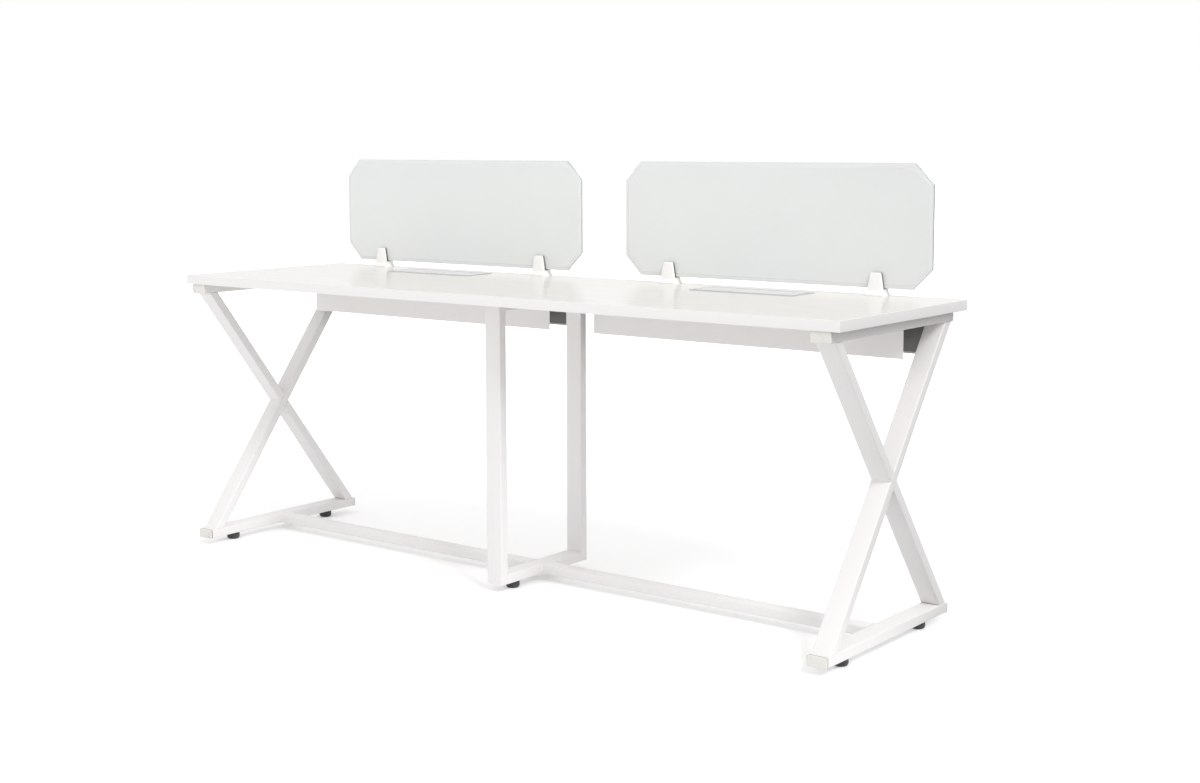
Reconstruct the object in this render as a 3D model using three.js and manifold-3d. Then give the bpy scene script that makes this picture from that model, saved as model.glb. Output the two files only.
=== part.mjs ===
// Benching desk for two: one long worktop on two crossed end legs and a middle leg, with floor
// stretchers, levelling feet, two cable trays under two lift-up cable flaps, and two glass screens.
// Millimetres, +Z up, +X along the desk, +Y towards the screens. The origin is on the floor,
// under the middle of the worktop.
import * as THREE from "three";
import { mergeGeometries, mergeVertices } from "three/addons/utils/BufferGeometryUtils.js";
import Module from "manifold-3d";

const wasm = await Module();
wasm.setup();

const cutPast = 1; // how far a cutter runs past the face that it cuts

// Worktop
const topLength = 2100;
const topDepth = 600;
const topThickness = 25;
const topHeight = 770; // floor to the working surface
const edgeBandThickness = 2;

// Steel tube of the legs, standing on its narrow side
const tubeWide = 50;
const tubeThin = 25;
const tubeWall = 1.5;
const tubeCorner = 3;
const weldGap = 0.3;

// Crossed end legs
const legInset = 23; // worktop's end to the leg's outer face
const railSetback = 3; // worktop's front edge to the front cap's face
const railLength = 570; // over both caps
const diagonalRun = 510; // front to back, between the centre lines at the rails
const diagonalShift = 5; // crossing behind the middle of the rails
const footGap = 20; // floor to the underside of the lower rails

// Plastic caps in the ends of the rails
const capThickness = 5;
const capLip = 1;
const capPlugLength = 18;
const capPlugWall = 2;
const capPlugPlay = 0.3;

// Middle leg
const middleLegSetback = 106; // worktop's front edge to the front post
const middleLegDepth = 352;

// Floor stretchers between the legs
const stretcherWide = 40;
const stretcherThin = 25;

// Levelling feet
const footFrontInset = 103; // front cap's face to the front foot
const footRearInset = 103; // rear cap's face to the rear foot
const middleFootInset = 72; // post's outer face to the foot under the middle leg
const padDiameter = 36;
const padToe = 7; // rounding of the pad's lower edge
const padRim = 2.5;
const padGap = 2; // pad to the underside of its rail
const padSocketDepth = 6;
const studDiameter = 10;
const studCollarDiameter = 13;
const studCollarHeight = 4;
const studHeadroom = 1.5;
const threadPlay = 0.3;
const weldNutFlats = 17;
const weldNutHeight = 8;

// Cable trays of folded sheet under the flaps
const trayFront = 425; // worktop's front edge to the tray's front plate
const trayDepth = 116;
const trayHeight = 105;
const traySheet = 1.5;
const trayBend = 2.5;
const trayFlange = 16;
const trayLegGap = 2;
const trayMiddleGap = 75; // desk's centre line to the tray's inner end
const trayDrop = 105; // open length of floor at each end, where cables drop

// Lift-up cable flaps
const flapFront = 425; // worktop's front edge to the bezel
const flapLength = 300;
const flapDepth = 112;
const bezelOverlap = 6; // bezel flange lying on the worktop
const bezelHeight = 1.5;
const bezelSkirt = 20;
const bezelWall = 2;
const bezelPlay = 0.5;
const ledgeWidth = 6;
const ledgeHeight = 5;
const ledgeEndGap = 8;
const lidThickness = 3;
const lidPlay = 0.5;
const lidRest = 0.3;
const hingeRadius = 3;
const hingeGap = 1.5;
const hingePinRadius = 1.5;
const hingeBorePlay = 0.3;
const hingeLugLength = 8;
const hingeLugGap = 0.6;
const brushWidth = 8;
const brushHeight = 11;
const brushPlay = 0.3;
const brushBacking = 2.2; // front wall of the bezel to the roots of the bristles
const bristleRows = 2;
const bristlesPerRow = 120;
const bristleRowGap = 1.6;
const bristleRootRadius = 0.6;
const bristleTipRadius = 0.35;

// Glass screens and their clamps
const screenLength = 900;
const screenHeight = 300;
const screenThickness = 8;
const screenChamfer = 50;
const screenBevel = 10;
const screenBevelDepth = 1;
const screenRearSetback = 27; // worktop's rear edge to the glass's rear face
const screenLift = 18; // worktop to the glass's lower edge
const clampSpacing = 610;
const clampBaseWidth = 48;
const clampTopWidth = 28;
const clampHeight = 56;
const clampBaseDepth = 40;
const clampBaseHeight = 4;
const clampCheekBase = 7;
const clampCheekTop = 5;
const clampCorner = 4;
const clampPad = 4.5; // rubber each side of the glass
const clampPadFloor = 2;
const clampPlay = 0.1;
const clampPadInset = 1;

// Places that follow from the sizes above
const topUnderside = topHeight - topThickness;
const frontEdge = -topDepth / 2;
const rearEdge = topDepth / 2;
const legX = topLength / 2 - legInset - tubeWide / 2;
const legInnerX = legX - tubeWide / 2;
const railFront = frontEdge + railSetback;
const legY = railFront + railLength / 2;
const railTop = footGap + tubeThin;
const upperRailUnderside = topUnderside - tubeThin;
const placeX = topLength / 4; // middle of each working place
const middleFrontY = frontEdge + middleLegSetback;
const middleRearY = middleFrontY + middleLegDepth;
const screenY = rearEdge - screenRearSetback - screenThickness / 2;

// Paint, plastic, board, glass and metal
const finish = (color, roughness, metalness, more = {}) =>
  new THREE.MeshStandardMaterial({ color, roughness, metalness, ...more });
const whitePaint = finish(0xf1f0ee, 0.42, 0.0);
const whiteLaminate = finish(0xf4f3f1, 0.38, 0.0);
const whiteEdging = finish(0xefeeec, 0.45, 0.0);
const creamPlastic = finish(0xe9e6df, 0.5, 0.0);
const whitePlastic = finish(0xf3f2ee, 0.45, 0.0);
const darkPlastic = finish(0x38383a, 0.6, 0.0);
const zincSteel = finish(0xb9bbbd, 0.35, 1.0);
const greyAluminium = finish(0xc9cacb, 0.35, 0.9);
const blackBristle = finish(0x232325, 0.9, 0.0);
const greenRubber = finish(0x2b3a37, 0.7, 0.0);
const frostedGlass = finish(0xdbe3e0, 0.35, 0.0, { transparent: true, opacity: 0.8 });

// Outlines

// A closed outline through corners given as [u, v, radius], with each corner rounded by its radius.
function outline(corners) {
  const shape = new THREE.Shape();
  const points = corners.map(([u, v]) => new THREE.Vector2(u, v));
  corners.forEach(([, , radius = 0], i) => {
    const corner = points[i];
    const before = points.at(i - 1).clone().sub(corner);
    const after = points[(i + 1) % points.length].clone().sub(corner);
    const reach = radius / Math.tan(before.angleTo(after) / 2);
    const start = before.setLength(reach).add(corner);
    const end = after.setLength(reach).add(corner);
    if (i === 0) shape.moveTo(start.x, start.y);
    else shape.lineTo(start.x, start.y);
    if (radius > 0) shape.quadraticCurveTo(corner.x, corner.y, end.x, end.y);
  });
  shape.closePath();
  return shape;
}

function rectangle(u0, v0, u1, v1, radius = 0) {
  return outline([
    [u0, v0, radius],
    [u1, v0, radius],
    [u1, v1, radius],
    [u0, v1, radius],
  ]);
}

// A prism of an outline, or a pipe where the outline of its bore is given too.
function prism(shape, depth, bore) {
  const options = { depth, bevelEnabled: false, curveSegments: 3 };
  const body = new THREE.ExtrudeGeometry(shape, options);
  if (!bore) return body;
  const core = new THREE.ExtrudeGeometry(bore, { ...options, depth: depth + 2 * cutPast });
  return geometry(solid(body).subtract(solid(core.translate(0, 0, -cutPast))));
}

// A steel tube of the given outer size.
function tube(wide, high, length) {
  const [u, v] = [wide / 2, high / 2];
  const [boreU, boreV] = [u - tubeWall, v - tubeWall];
  const boreCorner = Math.max(tubeCorner - tubeWall, 0);
  return prism(
    rectangle(-u, -v, u, v, tubeCorner),
    length,
    rectangle(-boreU, -boreV, boreU, boreV, boreCorner),
  );
}

// Turns an extrusion's own axes (u, v, depth) to the desk's: upright shapes, and lengths along X or Y.
const toX = new THREE.Matrix4().makeBasis(
  new THREE.Vector3(0, 1, 0),
  new THREE.Vector3(0, 0, 1),
  new THREE.Vector3(1, 0, 0),
);
const toY = new THREE.Matrix4().makeBasis(
  new THREE.Vector3(-1, 0, 0),
  new THREE.Vector3(0, 0, 1),
  new THREE.Vector3(0, 1, 0),
);
const alongX = (made) => made.applyMatrix4(toX);
const alongY = (made) => made.applyMatrix4(toY);

function box(x0, y0, z0, x1, y1, z1) {
  return new THREE.BoxGeometry(x1 - x0, y1 - y0, z1 - z0).translate(
    (x0 + x1) / 2,
    (y0 + y1) / 2,
    (z0 + z1) / 2,
  );
}

// Solids that are joined and cut

function solid(geometry) {
  const bare = geometry.clone();
  bare.deleteAttribute("normal");
  bare.deleteAttribute("uv");
  const merged = mergeVertices(bare, 1e-4);
  return new wasm.Manifold(
    new wasm.Mesh({
      numProp: 3,
      vertProperties: new Float32Array(merged.attributes.position.array),
      triVerts: new Uint32Array(merged.index.array),
    }),
  );
}

function geometry(body) {
  const { vertProperties, triVerts } = body.getMesh();
  const made = new THREE.BufferGeometry();
  made.setAttribute("position", new THREE.BufferAttribute(vertProperties, 3));
  made.setIndex(new THREE.BufferAttribute(triVerts, 1));
  const faceted = made.toNonIndexed();
  faceted.computeVertexNormals();
  return faceted;
}

// Cuts away what lies beyond a plane, given a point on it and the direction to cut away.
function trim(body, point, direction) {
  const reach = 4 * topLength;
  const block = new THREE.BoxGeometry(reach, reach, reach).translate(0, 0, reach / 2);
  const up = new THREE.Vector3(0, 0, 1);
  const turn = new THREE.Quaternion().setFromUnitVectors(up, direction.clone().normalize());
  block.applyQuaternion(turn).translate(point.x, point.y, point.z);
  return body.subtract(solid(block));
}

const at = (x, y, z) => new THREE.Vector3(x, y, z);

const desk = new THREE.Group();

function add(parent, name, shape, material) {
  const mesh = new THREE.Mesh(shape, material);
  mesh.name = name;
  parent.add(mesh);
  return mesh;
}

const sides = [
  { name: "left", sign: -1 },
  { name: "right", sign: 1 },
];

// Worktop: a laminated board with a cut-out for each cable flap, edged all round

const flapY0 = frontEdge + flapFront;
const flapY1 = flapY0 + flapDepth;
const cutoutHalf = flapLength / 2 - bezelOverlap;
const cutoutY0 = flapY0 + bezelOverlap;
const cutoutY1 = flapY1 - bezelOverlap;

function makeWorktop() {
  const [u, v] = [topLength / 2 - edgeBandThickness, topDepth / 2 - edgeBandThickness];
  let board = solid(box(-u, -v, 0, u, v, topThickness));
  for (const { sign } of sides) {
    const [x0, x1] = [sign * placeX - cutoutHalf, sign * placeX + cutoutHalf];
    const cutout = box(x0, cutoutY0, -cutPast, x1, cutoutY1, topThickness + cutPast);
    board = board.subtract(solid(cutout));
  }
  const band = rectangle(-topLength / 2, frontEdge, topLength / 2, rearEdge, edgeBandThickness);
  const edging = prism(band, topThickness, rectangle(-u, -v, u, v));
  const top = new THREE.Group();
  top.position.z = topUnderside;
  add(top, "worktop_board", geometry(board), whiteLaminate);
  add(top, "worktop_edge_band", edging, whiteEdging);
  desk.add(top);
}

// Steel parts shared by the legs

const railTubeLength = railLength - 2 * capThickness;

// A rail along Y, centred on the origin.
function railTube() {
  const rail = tube(tubeWide, tubeThin, railTubeLength);
  return alongY(rail).translate(0, -railTubeLength / 2, 0);
}

// Welds a nut inside a tube's lower wall at each place along Y, with a hole through nut and wall.
function withWeldNuts(body, places, underside) {
  const nutRadius = weldNutFlats / 2 / Math.cos(Math.PI / 6);
  const boreRadius = studDiameter / 2 + threadPlay;
  const nutTop = tubeWall + weldNutHeight;
  for (const y of places) {
    const nut = new THREE.CylinderGeometry(nutRadius, nutRadius, weldNutHeight + tubeWall / 2, 6);
    nut.rotateX(Math.PI / 2).translate(0, y, underside + nutTop - (weldNutHeight + tubeWall / 2) / 2);
    const bore = new THREE.CylinderGeometry(boreRadius, boreRadius, 2 * nutTop + 2, 16);
    bore.rotateX(Math.PI / 2).translate(0, y, underside);
    body = body.add(solid(nut)).subtract(solid(bore));
  }
  return body;
}

// Cap for a tube's end, facing -Y with its face at the origin: a rounded head with a lip at the
// sides and below, and a hollow plug that goes into the tube.
function capShape() {
  const [u, v] = [tubeWide / 2, tubeThin / 2];
  const face = rectangle(-u - capLip, -v - capLip, u + capLip, v, tubeCorner);
  const play = tubeWall + capPlugPlay;
  const inset = play + capPlugWall;
  const plug = rectangle(-u + play, -v + play, u - play, v - play, Math.max(tubeCorner - play, 0));
  const hollow = rectangle(-u + inset, -v + inset, u - inset, v - inset);
  const plugStart = capThickness / 2;
  const sleeve = prism(plug, capPlugLength + plugStart, hollow).translate(0, 0, plugStart);
  return alongY(geometry(solid(prism(face, capThickness)).add(solid(sleeve))));
}

// Crossed leg: two rails, one whole diagonal and two half diagonals welded flush to its sides

const crossingZ = (railTop + upperRailUnderside) / 2;
const diagonalRise = upperRailUnderside - railTop;
const diagonalAngle = Math.atan2(diagonalRise, diagonalRun);

// A tube through the crossing at the given slope, longer than it needs to be.
function diagonalTube(angle) {
  const length = 2 * Math.hypot(diagonalRise, diagonalRun);
  const bar = alongY(tube(tubeWide, tubeThin, length)).translate(0, -length / 2, 0);
  return solid(bar.rotateX(angle).translate(0, 0, crossingZ));
}

function betweenRails(body) {
  const lower = trim(body, at(0, 0, railTop + weldGap), at(0, 0, -1));
  return trim(lower, at(0, 0, upperRailUnderside - weldGap), at(0, 0, 1));
}

function makeCrossedLeg({ name, sign }) {
  const leg = new THREE.Group();
  leg.position.set(sign * legX, legY, 0);
  const feet = [-railLength / 2 + footFrontInset, railLength / 2 - footRearInset];

  const lowerRail = withWeldNuts(solid(railTube()), feet, -tubeThin / 2);
  const lower = add(leg, `${name}_leg_lower_rail`, geometry(lowerRail), whitePaint);
  lower.position.z = footGap + tubeThin / 2;
  const upper = add(leg, `${name}_leg_upper_rail`, railTube(), whitePaint);
  upper.position.z = topUnderside - tubeThin / 2;

  const whole = betweenRails(diagonalTube(diagonalAngle));
  add(leg, `${name}_leg_whole_diagonal`, geometry(whole), whitePaint).position.y = diagonalShift;
  const across = at(0, -Math.sin(diagonalAngle), Math.cos(diagonalAngle));
  const other = betweenRails(diagonalTube(-diagonalAngle));
  for (const [half, direction] of [["upper", 1], ["lower", -1]]) {
    const faceOffset = direction * (tubeThin / 2 + weldGap);
    const face = across.clone().multiplyScalar(faceOffset).add(at(0, 0, crossingZ));
    const cutAway = across.clone().multiplyScalar(-direction);
    const cut = add(leg, `${name}_leg_${half}_half_diagonal`, geometry(trim(other, face, cutAway)), whitePaint);
    cut.position.y = diagonalShift;
  }

  for (const [level, rail] of [["lower", lower], ["upper", upper]]) {
    for (const [end, facing] of [["front", 0], ["rear", Math.PI]]) {
      const cap = add(leg, `${name}_leg_${level}_${end}_cap`, capShape(), creamPlastic);
      const cover = railLength / 2;
      cap.position.set(0, end === "front" ? -cover : cover, rail.position.z);
      cap.rotation.z = facing;
    }
  }
  feet.forEach((y, i) => makeFoot(leg, `${name}_${i ? "rear" : "front"}`, y));
  desk.add(leg);
}

// Levelling foot: a moulded pad and a threaded stud that turns in the pad's socket

function makeFoot(parent, name, y) {
  const padRadius = padDiameter / 2;
  const padHeight = footGap - padGap;
  const socketRadius = studCollarDiameter / 2 + threadPlay;
  const socketFloor = padHeight - padSocketDepth;
  const lathe = (outline, segments) =>
    new THREE.LatheGeometry(
      outline.map(([r, z]) => new THREE.Vector2(r, z)),
      segments,
    ).rotateX(Math.PI / 2);
  const toe = [0, 30, 60, 90].map((degrees) => {
    const turn = THREE.MathUtils.degToRad(degrees);
    return [padRadius - padToe * (1 - Math.sin(turn)), padToe * (1 - Math.cos(turn))];
  });
  const pad = lathe(
    [
      [0, 0],
      ...toe,
      [padRadius, padHeight - padRim],
      [padRadius - padRim, padHeight],
      [socketRadius, padHeight],
      [socketRadius, socketFloor],
      [0, socketFloor],
    ],
    24,
  );
  const studFoot = socketFloor + threadPlay;
  const collarTop = studFoot + studCollarHeight;
  const studTop = footGap + tubeThin - tubeWall - studHeadroom;
  const studPoint = studDiameter / 10;
  const stud = lathe(
    [
      [0, studFoot],
      [studCollarDiameter / 2, studFoot],
      [studCollarDiameter / 2, collarTop],
      [studDiameter / 2, collarTop],
      [studDiameter / 2, studTop - studPoint],
      [studDiameter / 2 - studPoint, studTop],
      [0, studTop],
    ],
    16,
  );
  add(parent, `${name}_foot_pad`, pad, darkPlastic).position.y = y;
  add(parent, `${name}_foot_stud`, stud, zincSteel).position.y = y;
}

// Middle leg: four tubes in a closed frame, mitred at the corners

function makeMiddleLeg() {
  const frame = new THREE.Group();
  const [y0, y1] = [middleFrontY, middleRearY];
  const [z0, z1] = [footGap, topUnderside];
  const corners = { front: [y0, 1], rear: [y1, -1], lower: [z0, 1], upper: [z1, -1] };
  const feet = [y0 + middleFootInset, y1 - middleFootInset];
  const halfGap = weldGap / Math.SQRT2;

  // Cuts a member's end on the corner's diagonal plane, on the side of the member that it meets.
  const mitre = (body, [y, inY], [z, inZ], towards) => {
    const direction = at(0, inY * towards, -inZ * towards);
    const point = at(0, y - inY * towards * halfGap, z);
    return trim(body, point, direction);
  };

  const postLength = z1 - z0;
  const post = tube(tubeWide, tubeThin, postLength);
  for (const end of ["front", "rear"]) {
    const [y, inY] = corners[end];
    let body = solid(post.clone().translate(0, y + (inY * tubeThin) / 2, z0));
    for (const level of ["lower", "upper"]) body = mitre(body, corners[end], corners[level], 1);
    add(frame, `middle_leg_${end}_post`, geometry(body), whitePaint);
  }
  const rail = alongY(tube(tubeWide, tubeThin, middleLegDepth));
  for (const level of ["lower", "upper"]) {
    const [z, inZ] = corners[level];
    let body = solid(rail.clone().translate(0, y0, z + (inZ * tubeThin) / 2));
    for (const end of ["front", "rear"]) body = mitre(body, corners[end], corners[level], -1);
    if (level === "lower") body = withWeldNuts(body, feet, z0);
    add(frame, `middle_leg_${level}_rail`, geometry(body), whitePaint);
  }
  feet.forEach((y, i) => makeFoot(frame, `middle_${i ? "rear" : "front"}`, y));
  desk.add(frame);
}

// Floor stretchers, level with the tops of the lower rails

function makeStretcher({ name, sign }) {
  const start = tubeWide / 2 + weldGap;
  const length = legInnerX - weldGap - start;
  const bar = alongX(tube(stretcherWide, stretcherThin, length));
  const stretcher = add(desk, `${name}_stretcher`, bar, whitePaint);
  const x = sign > 0 ? start : -start - length;
  stretcher.position.set(x, legY, railTop - stretcherThin / 2);
}

// Cable tray: a folded channel hung from flanges under the worktop, with no floor near its ends

function makeTray({ name, sign }) {
  const length = legInnerX - trayLegGap - trayMiddleGap;
  const y0 = frontEdge + trayFront;
  const y1 = y0 + trayDepth;
  const [bottom, top] = [topUnderside - trayHeight, topUnderside];
  const inner = Math.max(trayBend - traySheet, 0);
  const section = outline([
    [y0 - trayFlange, top],
    [y0 - trayFlange, top - traySheet],
    [y0, top - traySheet, inner],
    [y0, bottom, trayBend],
    [y1, bottom, trayBend],
    [y1, top - traySheet, inner],
    [y1 + trayFlange, top - traySheet],
    [y1 + trayFlange, top],
    [y1 - traySheet, top, trayBend],
    [y1 - traySheet, bottom + traySheet, inner],
    [y0 + traySheet, bottom + traySheet, inner],
    [y0 + traySheet, top, trayBend],
  ]);
  let channel = solid(alongX(prism(section, length)));
  const plateEdge = trayBend + traySheet;
  for (const [from, to] of [[-cutPast, trayDrop], [length - trayDrop, length + cutPast]]) {
    const drop = box(from, y0 + plateEdge, bottom - cutPast, to, y1 - plateEdge, bottom + plateEdge);
    channel = channel.subtract(solid(drop));
  }
  const tray = add(desk, `${name}_cable_tray`, geometry(channel), whitePaint);
  tray.position.x = sign > 0 ? trayMiddleGap : -trayMiddleGap - length;
}

// Brush behind the bezel's front wall: a backing strip and staggered rows of tapered bristles.
function brushShape(half, wallY, top) {
  const backing = box(-half, wallY + brushPlay, top - brushHeight, half, wallY + brushBacking, top);
  const root = wallY + (brushPlay + brushBacking) / 2;
  const tip = wallY + brushWidth;
  const spacing = (2 * half) / bristlesPerRow;
  const bristles = [];
  for (let row = 0; row < bristleRows; row += 1) {
    const z = top - bristleRowGap / 2 - row * bristleRowGap;
    const stagger = row % 2 ? 0.75 : 0.25;
    for (let i = 0; i < bristlesPerRow; i += 1) {
      const bristle = new THREE.CylinderGeometry(bristleTipRadius, bristleRootRadius, tip - root, 3);
      bristles.push(bristle.translate(-half + spacing * (i + stagger), (root + tip) / 2, z));
    }
  }
  return geometry(solid(backing).add(solid(mergeGeometries(bristles))));
}

// Cable flap: a bezel set in the worktop, a hinged lid, its pin and a brush that cables pass through

function makeFlap({ name, sign }) {
  const flap = new THREE.Group();
  flap.position.set(sign * placeX, 0, topHeight);
  const halfLength = flapLength / 2;
  const skirtHalf = cutoutHalf - bezelPlay;
  const [skirtY0, skirtY1] = [cutoutY0 + bezelPlay, cutoutY1 - bezelPlay];
  const openHalf = skirtHalf - bezelWall;
  const [openY0, openY1] = [skirtY0 + bezelWall, skirtY1 - bezelWall];
  const lidTop = bezelHeight;
  const lidUnder = lidTop - lidThickness;
  const hingeY = openY1 - hingeGap - hingeRadius;
  const hingeZ = lidTop - hingeRadius;
  const lugInner = openHalf - hingeLugLength;

  const rod = (radius, x0, x1, sides) =>
    new THREE.CylinderGeometry(radius, radius, x1 - x0, sides)
      .rotateZ(Math.PI / 2)
      .translate((x0 + x1) / 2, hingeY, hingeZ);
  const opening = rectangle(-openHalf, openY0, openHalf, openY1);
  const ring = (half, y0, y1, z0, z1) =>
    prism(rectangle(-half, y0, half, y1), z1 - z0, opening).translate(0, 0, z0);
  let bezel = solid(ring(halfLength, flapY0, flapY1, 0, bezelHeight));
  bezel = bezel.add(solid(ring(skirtHalf, skirtY0, skirtY1, -bezelSkirt, bezelHeight / 2)));
  const ledgeTop = lidUnder - lidRest;
  const ledgeY0 = openY0 + brushWidth + ledgeEndGap;
  const ledgeY1 = hingeY - hingeRadius - ledgeEndGap;
  const wallMiddle = openHalf + bezelWall / 2;
  const pinBore = hingePinRadius + hingeBorePlay;
  for (const end of [-1, 1]) {
    const span = (from, to) => [Math.min(end * from, end * to), Math.max(end * from, end * to)];
    const [ledgeX0, ledgeX1] = span(openHalf - ledgeWidth, wallMiddle);
    const ledge = box(ledgeX0, ledgeY0, ledgeTop - ledgeHeight, ledgeX1, ledgeY1, ledgeTop);
    const [lugX0, lugX1] = span(lugInner, wallMiddle);
    const lugBack = openY1 + bezelWall / 2;
    const lug = box(lugX0, hingeY, hingeZ - 2 * hingeRadius, lugX1, lugBack, lidTop - lidRest);
    const nose = rod(hingeRadius - lidRest, lugX0, lugX1, 20);
    bezel = bezel.add(solid(ledge)).add(solid(lug)).add(solid(nose));
  }
  const bore = solid(rod(pinBore, -openHalf, openHalf, 12));
  add(flap, `${name}_flap_bezel`, geometry(bezel.subtract(bore)), greyAluminium);
  const pinHalf = openHalf - hingeBorePlay;
  add(flap, `${name}_flap_hinge_pin`, rod(hingePinRadius, -pinHalf, pinHalf, 12), zincSteel);

  const lidFront = openY0 + brushWidth + lidPlay;
  const lidHalf = openHalf - lidPlay;
  const knuckleHalf = lugInner - hingeLugGap;
  const lugFront = hingeY - hingeRadius - hingeLugGap;
  const plate = outline([
    [-lidHalf, lidFront, 1],
    [lidHalf, lidFront, 1],
    [lidHalf, lugFront],
    [knuckleHalf, lugFront],
    [knuckleHalf, hingeY],
    [-knuckleHalf, hingeY],
    [-knuckleHalf, lugFront],
    [-lidHalf, lugFront],
  ]);
  let lid = solid(prism(plate, lidThickness).translate(0, 0, lidUnder));
  lid = lid.add(solid(rod(hingeRadius, -knuckleHalf, knuckleHalf, 20)));
  add(flap, `${name}_flap_lid`, geometry(lid.subtract(bore)), greyAluminium);

  const brushTop = lidTop - lidRest;
  const brush = brushShape(openHalf - brushPlay, openY0, brushTop);
  add(flap, `${name}_flap_brush`, brush, blackBristle);
  desk.add(flap);
}

// Screen: bevelled frosted glass with cut corners, in two clamps lined with rubber

function glassShape() {
  const [u, v, cut] = [screenLength / 2, screenHeight, screenChamfer];
  const pane = outline([
    [-u + cut, 0],
    [u - cut, 0],
    [u, cut],
    [u, v - cut],
    [u - cut, v],
    [-u + cut, v],
    [-u, v - cut],
    [-u, cut],
  ]);
  return new THREE.ExtrudeGeometry(pane, {
    depth: screenThickness - 2 * screenBevelDepth,
    bevelEnabled: true,
    bevelThickness: screenBevelDepth,
    bevelSize: screenBevel,
    bevelOffset: -screenBevel,
    bevelSegments: 1,
  })
    .translate(0, 0, screenBevelDepth - screenThickness / 2)
    .applyMatrix4(toY);
}

// The clamp's outline from the front, narrower by an inset: wide at the worktop, narrow at the top.
function clampFront(inset, depth) {
  const [base, top] = [clampBaseWidth / 2 - inset, clampTopWidth / 2 - inset];
  const face = outline([
    [-base, 0],
    [base, 0],
    [base - (base - top) / 4, clampBaseHeight * 3, clampCorner],
    [top, clampHeight, clampCorner],
    [-top, clampHeight, clampCorner],
    [-base + (base - top) / 4, clampBaseHeight * 3, clampCorner],
  ]);
  return solid(alongY(prism(face, depth)).translate(0, -depth / 2, 0));
}

// Seen from the end: two cheeks that stand on a flared base and leave a slot for the glass.
function clampSide() {
  const slot = screenThickness / 2 + clampPad + clampPlay;
  const slotFloor = screenLift - clampPadFloor - clampPlay;
  const [foot, waist, crown] = [clampBaseDepth / 2, slot + clampCheekBase, slot + clampCheekTop];
  const profile = outline([
    [-foot, 0],
    [foot, 0],
    [foot, clampBaseHeight, 1],
    [waist, slotFloor, clampCorner],
    [crown, clampHeight, 2],
    [slot, clampHeight],
    [slot, slotFloor],
    [-slot, slotFloor],
    [-slot, clampHeight],
    [-crown, clampHeight, 2],
    [-waist, slotFloor, clampCorner],
    [-foot, clampBaseHeight, 1],
  ]);
  return solid(alongX(prism(profile, clampBaseWidth)).translate(-clampBaseWidth / 2, 0, 0));
}

// Rubber channel between the clamp's cheeks and the glass.
function clampLining() {
  const outer = screenThickness / 2 + clampPad;
  const inner = screenThickness / 2 + clampPlay;
  const [floor, seat] = [screenLift - clampPadFloor, screenLift - clampPlay];
  const top = clampHeight - clampPadInset;
  const profile = outline([
    [-outer, floor],
    [outer, floor],
    [outer, top],
    [inner, top],
    [inner, seat],
    [-inner, seat],
    [-inner, top],
    [-outer, top],
  ]);
  return solid(alongX(prism(profile, clampBaseWidth)).translate(-clampBaseWidth / 2, 0, 0));
}

function makeScreen({ name, sign }) {
  const screen = new THREE.Group();
  screen.position.set(sign * placeX, screenY, topHeight);
  const glass = add(screen, `${name}_screen_glass`, glassShape(), frostedGlass);
  glass.position.z = screenLift;
  const clamp = geometry(clampSide().intersect(clampFront(0, clampBaseDepth)));
  const lining = geometry(clampLining().intersect(clampFront(clampPadInset, clampBaseDepth)));
  for (const end of sides) {
    const x = (end.sign * clampSpacing) / 2;
    add(screen, `${name}_screen_${end.name}_clamp`, clamp, whitePlastic).position.x = x;
    add(screen, `${name}_screen_${end.name}_clamp_lining`, lining, greenRubber).position.x = x;
  }
  desk.add(screen);
}

makeWorktop();
makeMiddleLeg();
for (const side of sides) {
  makeCrossedLeg(side);
  makeStretcher(side);
  makeTray(side);
  makeFlap(side);
  makeScreen(side);
}

export default desk;
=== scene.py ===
"""Looks of a benching desk for two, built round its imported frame."""
import math

import bpy
import numpy as np
from mathutils import Matrix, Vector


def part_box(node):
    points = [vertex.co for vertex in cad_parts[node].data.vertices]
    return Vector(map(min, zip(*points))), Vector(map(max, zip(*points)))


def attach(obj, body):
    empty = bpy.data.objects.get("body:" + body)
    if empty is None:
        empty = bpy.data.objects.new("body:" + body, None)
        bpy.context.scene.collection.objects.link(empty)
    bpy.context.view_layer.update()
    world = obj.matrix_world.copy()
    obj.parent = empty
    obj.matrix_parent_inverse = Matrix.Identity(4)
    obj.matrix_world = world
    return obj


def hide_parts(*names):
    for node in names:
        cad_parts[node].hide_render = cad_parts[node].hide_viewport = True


bl_info = {
    "name": "Benching desk",
    "version": (1, 0, 0),
    "blender": (4, 5, 0),
    "location": "View3D > Sidebar > Desk",
    "description": "Pieces, finishes and stage of a benching desk for two",
    "category": "Add Mesh",
}

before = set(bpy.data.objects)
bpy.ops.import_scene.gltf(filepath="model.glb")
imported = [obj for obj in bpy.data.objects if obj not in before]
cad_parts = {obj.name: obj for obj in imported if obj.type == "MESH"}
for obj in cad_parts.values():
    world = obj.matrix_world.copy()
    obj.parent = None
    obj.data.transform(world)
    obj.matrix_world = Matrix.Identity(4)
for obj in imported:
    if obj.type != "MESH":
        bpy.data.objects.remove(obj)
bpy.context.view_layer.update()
SIDES = ("left", "right")
ENDS = ("front", "rear")
MM = 0.001
SCREW_RADIUS = 5 * MM


def reach(node):
    """Lowest and highest corners of a node of the frame, as arrays."""
    low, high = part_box(node)
    return np.array(low), np.array(high)


def extent(node, axis):
    """Size of a node of the frame along X, Y or Z."""
    low, high = reach(node)
    return float((high - low)["XYZ".index(axis)])


# Sizes and colours that a user would change


def number(name, description, default, **more):
    """A number that the panel can change."""
    return bpy.props.FloatProperty(name=name, description=description, default=default, **more)


def length(name, description, default):
    """A size in metres."""
    return number(name, description, default, unit="LENGTH", precision=5)


def degrees(name, description, default):
    """An angle, given in degrees."""
    return number(name, description, math.radians(default), subtype="ANGLE")


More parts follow.
